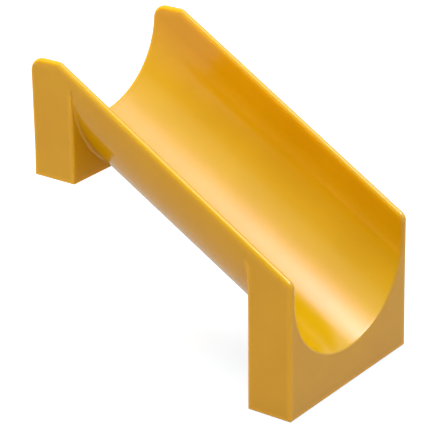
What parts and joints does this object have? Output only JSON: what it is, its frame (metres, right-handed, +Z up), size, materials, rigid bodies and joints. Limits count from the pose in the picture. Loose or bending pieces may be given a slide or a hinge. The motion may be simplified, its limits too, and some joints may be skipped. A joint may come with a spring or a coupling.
{
  "type": "toy building set slide",
  "caption": "Straight half-pipe slide for a toy building set: a sloping trough with upright side walls between two hollow end blocks that push onto studs.",
  "frame": {"origin": "centre of the 6 by 4 stud footprint, in the plane that the lower block stands on", "axes": "+X down the chute towards the low end, +Y to the left of whoever slides down, +Z up"},
  "size_m": [0.0478, 0.0318, 0.048],
  "materials": {
    "moulded_abs": "glossy injection-moulded ABS, warm yellow-orange"
  },
  "bodies": {
    "root": {"chute_bed": "moulded_abs", "left_side_wall": "moulded_abs", "right_side_wall": "moulded_abs", "upper_end_block": "moulded_abs", "upper_grip_pin_1": "moulded_abs", "upper_grip_pin_2": "moulded_abs", "upper_grip_pin_3": "moulded_abs", "lower_end_block": "moulded_abs", "lower_grip_pin_1": "moulded_abs", "lower_grip_pin_2": "moulded_abs", "lower_grip_pin_3": "moulded_abs"}
  },
  "joints": []
}
